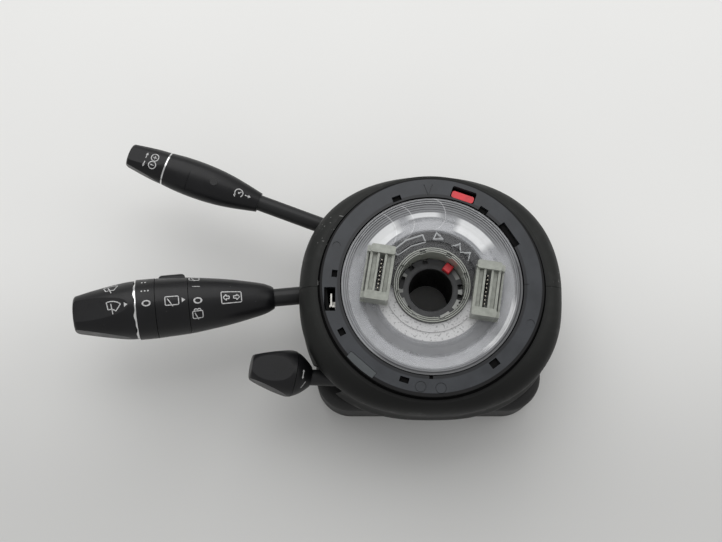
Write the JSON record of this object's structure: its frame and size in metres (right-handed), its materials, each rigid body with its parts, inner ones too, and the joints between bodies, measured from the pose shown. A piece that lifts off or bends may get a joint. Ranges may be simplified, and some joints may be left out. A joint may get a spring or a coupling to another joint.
{
  "type": "airbag clock spring",
  "caption": "Steering column clock spring with a clear rotor and plug towers in a flared collar, and cruise, combination and column adjuster stalks.",
  "frame": {"origin": "on the steering axis, in the plane of the rear cover that faces the column", "axes": "+Z along the steering axis to the driver, +Y up on the column, stalks leave towards -X"},
  "size_m": [0.2679, 0.1547, 0.0821],
  "materials": {
    "collar_soft": "soft-touch matt",
    "ring_grey": "fine satin",
    "plate_grey": "smooth",
    "housing_black": "fine grain",
    "stalk_black": "satin",
    "rod_black": "satin",
    "hub_grey": "satin",
    "pivot_white": "natural acetal",
    "clear_plastic": "clear moulded",
    "milky_plastic": "milky moulded",
    "silver_film": "satin film",
    "lock_red": "satin",
    "trim_chrome": "polished",
    "lamp_lens": "smoked",
    "contact_metal": "plated",
    "steel": "zinc plated",
    "board_green": "solder mask",
    "chip_black": "moulded",
    "ribbon_dark": "film laminate"
  },
  "bodies": {
    "root": {"rear_housing": "housing_black", "rear_cover": "housing_black", "cover_screws": "steel", "circuit_board": "board_green", "board_components": "chip_black", "sensor_fork": "housing_black", "harness_sockets": "housing_black", "harness_pins": "contact_metal", "main_chassis": "housing_black", "chassis_screws": "steel", "collar_upper": "collar_soft", "collar_lower": "collar_soft", "collar_screws": "steel", "stator_pan": "housing_black", "stator_ring": "ring_grey", "ring_cover_plate": "plate_grey", "lock_spring": "steel", "ribbon_cable": "ribbon_dark", "cruise_switch": "housing_black", "combi_switch": "housing_black", "adjuster_switch": "housing_black"},
    "rotor": {"rotor_shell": "clear_plastic", "glide_film": "silver_film", "connector_right": "milky_plastic", "connector_left": "milky_plastic", "terminal_pins": "contact_metal", "sensor_hub": "hub_grey", "code_disc": "hub_grey", "rotor_retainer": "hub_grey"},
    "rotor_lock": {"lock_tab": "lock_red"},
    "transport_lock": {"centre_lock": "lock_red"},
    "cruise_swing": {"cruise_gimbal": "pivot_white"},
    "cruise_arm": {"cruise_lever": "rod_black", "cruise_plunger": "pivot_white"},
    "cruise_grip": {"cruise_handle": "stalk_black", "cruise_trim": "trim_chrome", "cruise_end_cap": "stalk_black", "cruise_lamp": "lamp_lens"},
    "combi_swing": {"combi_gimbal": "pivot_white"},
    "combi_arm": {"combi_lever": "rod_black", "combi_plunger": "pivot_white", "combi_handle": "stalk_black", "mark_ring": "stalk_black"},
    "rear_ring": {"rear_wiper_ring": "stalk_black"},
    "wiper_turn": {"wiper_spindle": "pivot_white"},
    "wiper_press": {"wiper_knob": "stalk_black", "wiper_trim": "trim_chrome"},
    "adjuster_swing": {"adjuster_gimbal": "pivot_white"},
    "adjuster_arm": {"adjuster_lever": "rod_black", "adjuster_plunger": "pivot_white", "adjuster_base": "stalk_black"},
    "adjuster_head": {"adjuster_knob": "stalk_black"}
  },
  "joints": [
    {"name": "rotor_spin", "type": "hinge", "parent": "root", "child": "rotor", "pos_m": [0, 0, 0.04], "axis": [0, 0, 1], "range_deg": [-900, 900]},
    {"name": "rotor_lock_press", "type": "slide", "parent": "rotor", "child": "rotor_lock", "axis": [0, 0, -1], "range_m": [0, 0.0025], "stiffness_N_per_m": 300},
    {"name": "transport_lock_slide", "type": "slide", "parent": "root", "child": "transport_lock", "axis": [0.3355, 0.9421, 0], "range_m": [0, 0.002]},
    {"name": "cruise_tilt", "type": "hinge", "parent": "root", "child": "cruise_swing", "pos_m": [-0.0381, 0.0343, 0.039], "axis": [0, 0, 1], "range_deg": [-6, 6], "stiffness_Nm_per_rad": 8},
    {"name": "cruise_pull", "type": "hinge", "parent": "cruise_swing", "child": "cruise_arm", "pos_m": [-0.0381, 0.0343, 0.039], "axis": [-0.3322, -0.9432, 0], "range_deg": [-5, 5], "stiffness_Nm_per_rad": 12},
    {"name": "combi_tilt", "type": "hinge", "parent": "root", "child": "combi_swing", "pos_m": [-0.0383, 0.0048, 0.039], "axis": [0, 0, 1], "range_deg": [-7, 7]},
    {"name": "combi_pull", "type": "hinge", "parent": "combi_swing", "child": "combi_arm", "pos_m": [-0.0383, 0.0048, 0.039], "axis": [0.1149, -0.9934, 0], "range_deg": [-5, 5], "stiffness_Nm_per_rad": 12},
    {"name": "adjuster_tilt", "type": "hinge", "parent": "root", "child": "adjuster_swing", "pos_m": [-0.0228, -0.0467, 0.039], "axis": [0, 0, 1], "range_deg": [-4, 4], "stiffness_Nm_per_rad": 8},
    {"name": "adjuster_pull", "type": "hinge", "parent": "adjuster_swing", "child": "adjuster_arm", "pos_m": [-0.0228, -0.0467, 0.039], "axis": [-0.0262, -0.9997, 0], "range_deg": [-4, 4], "stiffness_Nm_per_rad": 12},
    {"name": "cruise_press", "type": "slide", "parent": "cruise_arm", "child": "cruise_grip", "axis": [0.9389, -0.3306, -0.0958], "range_m": [0, 0.002], "stiffness_N_per_m": 800},
    {"name": "rear_ring_turn", "type": "hinge", "parent": "combi_arm", "child": "rear_ring", "pos_m": [-0.0383, 0.0048, 0.039], "axis": [-0.9888, -0.1144, 0.0958], "range_deg": [-22, 44]},
    {"name": "wiper_knob_turn", "type": "hinge", "parent": "combi_arm", "child": "wiper_turn", "pos_m": [-0.0383, 0.0048, 0.039], "axis": [-0.9888, -0.1144, 0.0958], "range_deg": [0, 72]},
    {"name": "wiper_knob_press", "type": "slide", "parent": "wiper_turn", "child": "wiper_press", "axis": [0.9888, 0.1144, -0.0958], "range_m": [0, 0.0025], "stiffness_N_per_m": 800},
    {"name": "adjuster_knob_turn", "type": "hinge", "parent": "adjuster_arm", "child": "adjuster_head", "pos_m": [-0.06409, -0.04562, 0.04298], "axis": [-0.9639, 0.1288, 0.2329], "range_deg": [-25, 25], "stiffness_Nm_per_rad": 0.2}
  ]
}
